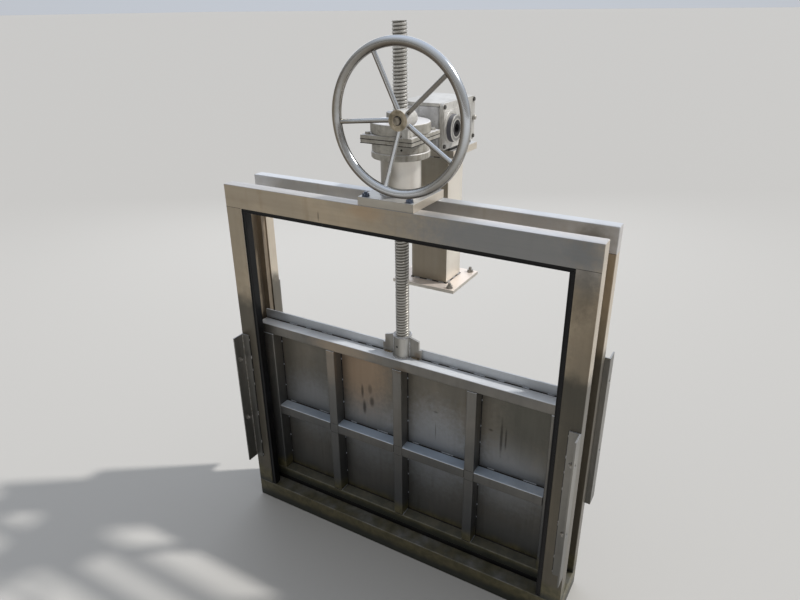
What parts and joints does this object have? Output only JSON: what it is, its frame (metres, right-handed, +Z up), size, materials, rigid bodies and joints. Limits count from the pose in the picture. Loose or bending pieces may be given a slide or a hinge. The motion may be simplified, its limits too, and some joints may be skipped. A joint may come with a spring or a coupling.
{
  "type": "sluice gate",
  "caption": "Rising-stem canal sluice gate: stiffened sliding leaf in a double steel frame, pedestal gearbox with handwheel, rear gear column.",
  "frame": {"origin": "centre of the sill's underside, straight below the stem", "axes": "+X to the right across the canal seen from the stiffened side, +Y along the flow from the stiffened side to the rear column, +Z up along the stem"},
  "size_m": [1.348, 0.523, 1.885],
  "materials": {
    "frame_steel": "brushed stainless, weathered",
    "plate_steel": "mill-finish stainless plate",
    "pedestal_steel": "brushed stainless tube with upright streaks",
    "cast_housing": "light grey paint on castings",
    "leaf_steel": "stainless plate, water-stained",
    "stem_steel": "turned stainless",
    "wheel_steel": "polished stainless",
    "hub_metal": "weathered metal",
    "rubber": "black rubber"
  },
  "bodies": {
    "frame": {"front_post_left": "frame_steel", "front_post_right": "frame_steel", "front_top_beam": "frame_steel", "rear_post_left": "frame_steel", "rear_post_right": "frame_steel", "rear_top_beam": "frame_steel", "guide_web_left": "frame_steel", "guide_web_right": "frame_steel", "sill_beam": "frame_steel", "lining_left": "rubber", "lining_right": "rubber", "lining_top": "rubber", "bracket_front_left": "frame_steel", "bracket_front_right": "frame_steel", "bracket_rear_left": "frame_steel", "bracket_rear_right": "frame_steel", "gearbox_base_plate": "plate_steel", "pedestal_tube": "pedestal_steel", "lower_gear_housing": "cast_housing", "lower_flange": "cast_housing", "upper_flange": "cast_housing", "gear_drum": "cast_housing", "stem_nut_cap": "cast_housing", "input_shaft_case": "cast_housing", "gearbox_link_tube": "cast_housing", "rear_column": "frame_steel", "column_foot_plate": "plate_steel", "column_head_plate": "plate_steel", "rear_gear_housing": "cast_housing", "rear_gear_cover": "cast_housing"},
    "leaf": {"leaf_plate": "leaf_steel", "leaf_top_member": "leaf_steel", "leaf_middle_member": "leaf_steel", "leaf_bottom_member": "leaf_steel", "leaf_end_ribs": "leaf_steel", "leaf_ribs": "leaf_steel", "leaf_foot_seal": "rubber", "stem_socket": "leaf_steel", "socket_gussets": "leaf_steel", "stem": "stem_steel"},
    "handwheel": {"handwheel_rim": "wheel_steel", "handwheel_spokes": "wheel_steel", "handwheel_hub": "hub_metal", "hub_nut": "hub_metal", "input_shaft": "stem_steel"}
  },
  "joints": [
    {"name": "leaf_lift", "type": "slide", "parent": "frame", "child": "leaf", "axis": [0, 0, 1], "range_m": [0, 0.44]},
    {"name": "handwheel_spin", "type": "hinge", "parent": "frame", "child": "handwheel", "pos_m": [0.0726, -0.1395, 1.6362], "axis": [0, -1, 0], "range_deg": [-20, 47600]}
  ],
  "couplings": [
    {"joint": "handwheel_spin", "follows": "leaf_lift", "rad_per_m": 1885}
  ]
}
